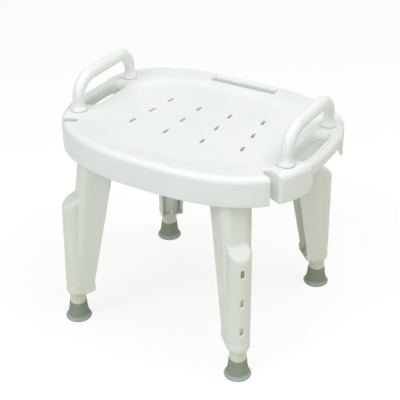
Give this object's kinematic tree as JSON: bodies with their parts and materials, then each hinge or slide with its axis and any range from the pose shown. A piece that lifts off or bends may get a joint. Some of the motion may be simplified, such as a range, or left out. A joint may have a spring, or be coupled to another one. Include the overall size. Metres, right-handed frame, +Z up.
{
  "type": "shower seat",
  "caption": "Moulded bath and shower seat with drain slots, side grab handles, hose notches and tapered legs that extend to set the height, on rubber feet.",
  "frame": {"origin": "on the floor under the middle of the seat, with the legs at their lowest setting", "axes": "+X to the right as seen from the front, +Y to the back, +Z up"},
  "size_m": [0.5112, 0.396, 0.4772],
  "materials": {
    "seat_plastic": "white moulded plastic, faint satin sheen",
    "handle_plastic": "white, smooth and slightly glossy",
    "leg_plastic": "white-grey moulded plastic, satin",
    "tube_plastic": "white-grey tube, satin",
    "clip_steel": "grey spring steel",
    "foot_rubber": "grey rubber, dull",
    "screw_steel": "stainless steel"
  },
  "bodies": {
    "seat_frame": {"seat": "seat_plastic", "handle_left": "handle_plastic", "handle_right": "handle_plastic", "handle_screw_front_left": "screw_steel", "handle_screw_front_right": "screw_steel", "handle_screw_back_left": "screw_steel", "handle_screw_back_right": "screw_steel", "leg_housing_front_right": "leg_plastic", "leg_screw_front_right_a": "screw_steel", "leg_screw_front_right_b": "screw_steel", "leg_housing_back_right": "leg_plastic", "leg_screw_back_right_a": "screw_steel", "leg_screw_back_right_b": "screw_steel", "leg_housing_back_left": "leg_plastic", "leg_screw_back_left_a": "screw_steel", "leg_screw_back_left_b": "screw_steel", "leg_housing_front_left": "leg_plastic", "leg_screw_front_left_a": "screw_steel", "leg_screw_front_left_b": "screw_steel"},
    "extension_front_right": {"leg_extension_front_right": "tube_plastic", "foot_front_right": "foot_rubber"},
    "button_front_right": {"snap_button_front_right": "clip_steel"},
    "extension_back_right": {"leg_extension_back_right": "tube_plastic", "foot_back_right": "foot_rubber"},
    "button_back_right": {"snap_button_back_right": "clip_steel"},
    "extension_back_left": {"leg_extension_back_left": "tube_plastic", "foot_back_left": "foot_rubber"},
    "button_back_left": {"snap_button_back_left": "clip_steel"},
    "extension_front_left": {"leg_extension_front_left": "tube_plastic", "foot_front_left": "foot_rubber"},
    "button_front_left": {"snap_button_front_left": "clip_steel"}
  },
  "joints": [
    {"name": "leg_front_right_slide", "type": "slide", "parent": "seat_frame", "child": "extension_front_right", "axis": [0.012, -0.012, -0.9999], "range_m": [0, 0.122], "deforming": ["snap_button_front_right"]},
    {"name": "button_front_right_press", "type": "slide", "parent": "extension_front_right", "child": "button_front_right", "axis": [-0.7071, 0.7071, 0], "range_m": [0, 0.0045], "stiffness_N_per_m": 800, "deforming": ["snap_button_front_right"]},
    {"name": "leg_back_right_slide", "type": "slide", "parent": "seat_frame", "child": "extension_back_right", "axis": [0.012, 0.012, -0.9999], "range_m": [0, 0.122], "deforming": ["snap_button_back_right"]},
    {"name": "button_back_right_press", "type": "slide", "parent": "extension_back_right", "child": "button_back_right", "axis": [-0.7071, -0.7071, 0], "range_m": [0, 0.0045], "stiffness_N_per_m": 800, "deforming": ["snap_button_back_right"]},
    {"name": "leg_back_left_slide", "type": "slide", "parent": "seat_frame", "child": "extension_back_left", "axis": [-0.012, 0.012, -0.9999], "range_m": [0, 0.122], "deforming": ["snap_button_back_left"]},
    {"name": "button_back_left_press", "type": "slide", "parent": "extension_back_left", "child": "button_back_left", "axis": [0.7071, -0.7071, 0], "range_m": [0, 0.0045], "stiffness_N_per_m": 800, "deforming": ["snap_button_back_left"]},
    {"name": "leg_front_left_slide", "type": "slide", "parent": "seat_frame", "child": "extension_front_left", "axis": [-0.012, -0.012, -0.9999], "range_m": [0, 0.122], "deforming": ["snap_button_front_left"]},
    {"name": "button_front_left_press", "type": "slide", "parent": "extension_front_left", "child": "button_front_left", "axis": [0.7071, 0.7071, 0], "range_m": [0, 0.0045], "stiffness_N_per_m": 800, "deforming": ["snap_button_front_left"]}
  ]
}
